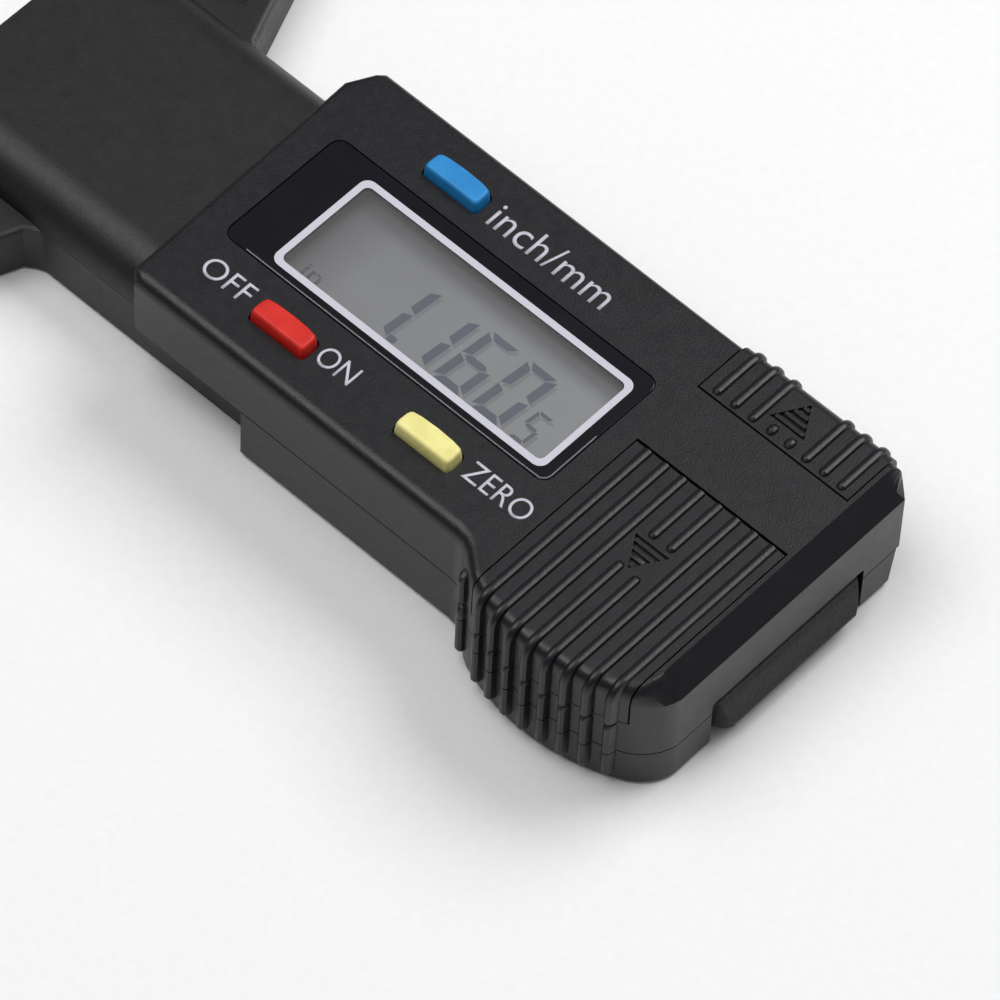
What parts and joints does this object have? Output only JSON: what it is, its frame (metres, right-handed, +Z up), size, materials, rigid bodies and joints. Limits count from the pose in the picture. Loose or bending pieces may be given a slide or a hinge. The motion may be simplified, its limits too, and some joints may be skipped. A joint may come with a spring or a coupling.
{
  "type": "digital tread depth gauge",
  "caption": "Battery digital tread depth gauge: T-shaped base with a ruler beam, a sliding display unit that carries the depth probe, push buttons and sliding covers.",
  "frame": {"origin": "middle of the underside of the bounding box, in the pose shown (display unit pushed fully against the T, probe out)", "axes": "+X from the T towards the thumb end along the sliding direction, +Y across towards the unit button, +Z up out of the display"},
  "size_m": [0.1349, 0.061, 0.0165],
  "materials": {
    "black_plastic": "fine matt texture",
    "base_plastic": "matt, slightly rougher",
    "dark_lens": "gloss, smoked, clear inside the printed frame",
    "lcd_grey": "satin",
    "steel": "ground",
    "nickel": "bright nickel plate",
    "board_green": "solder mask",
    "epoxy_black": "satin",
    "elastomer": "matt silicone",
    "red_button": "satin",
    "blue_button": "satin",
    "yellow_button": "satin",
    "white_plastic": "satin",
    "scale_copper": "printed laminate"
  },
  "bodies": {
    "t_base": {"t_base": "base_plastic", "scale_strip": "scale_copper"},
    "display_unit": {"front_case": "black_plastic", "back_case": "black_plastic", "lens_window": "dark_lens", "lcd_panel": "lcd_grey", "lcd_holder": "white_plastic", "zebra_strip_a": "elastomer", "zebra_strip_b": "elastomer", "main_board": "board_green", "sensor_chip": "epoxy_black", "dome_switch_unit": "steel", "dome_switch_power": "steel", "dome_switch_zero": "steel", "button_cell": "nickel", "contact_plus": "nickel", "contact_minus": "nickel", "port_connector": "epoxy_black", "case_screw_a": "steel", "case_screw_b": "steel", "case_screw_c": "steel", "case_screw_d": "steel", "probe_rod": "steel", "probe_holder": "white_plastic"},
    "battery_cover": {"battery_cover": "black_plastic"},
    "port_cover": {"port_cover": "black_plastic"},
    "button_unit": {"button_unit": "blue_button"},
    "button_power": {"button_power": "red_button"},
    "button_zero": {"button_zero": "yellow_button"}
  },
  "joints": [
    {"name": "display_slide", "type": "slide", "parent": "t_base", "child": "display_unit", "axis": [1, 0, 0], "range_m": [0, 0.0295]},
    {"name": "battery_cover_slide", "type": "slide", "parent": "display_unit", "child": "battery_cover", "axis": [0, -1, 0], "range_m": [0, 0.02]},
    {"name": "port_cover_slide", "type": "slide", "parent": "display_unit", "child": "port_cover", "axis": [0, 1, 0], "range_m": [0, 0.006]},
    {"name": "button_unit_press", "type": "slide", "parent": "display_unit", "child": "button_unit", "axis": [0, 0, -1], "range_m": [0, 0.0005], "stiffness_N_per_m": 300, "springref_m": -0.0002},
    {"name": "button_power_press", "type": "slide", "parent": "display_unit", "child": "button_power", "axis": [0, 0, -1], "range_m": [0, 0.0005], "stiffness_N_per_m": 300, "springref_m": -0.0002},
    {"name": "button_zero_press", "type": "slide", "parent": "display_unit", "child": "button_zero", "axis": [0, 0, -1], "range_m": [0, 0.0005], "stiffness_N_per_m": 300, "springref_m": -0.0002}
  ]
}
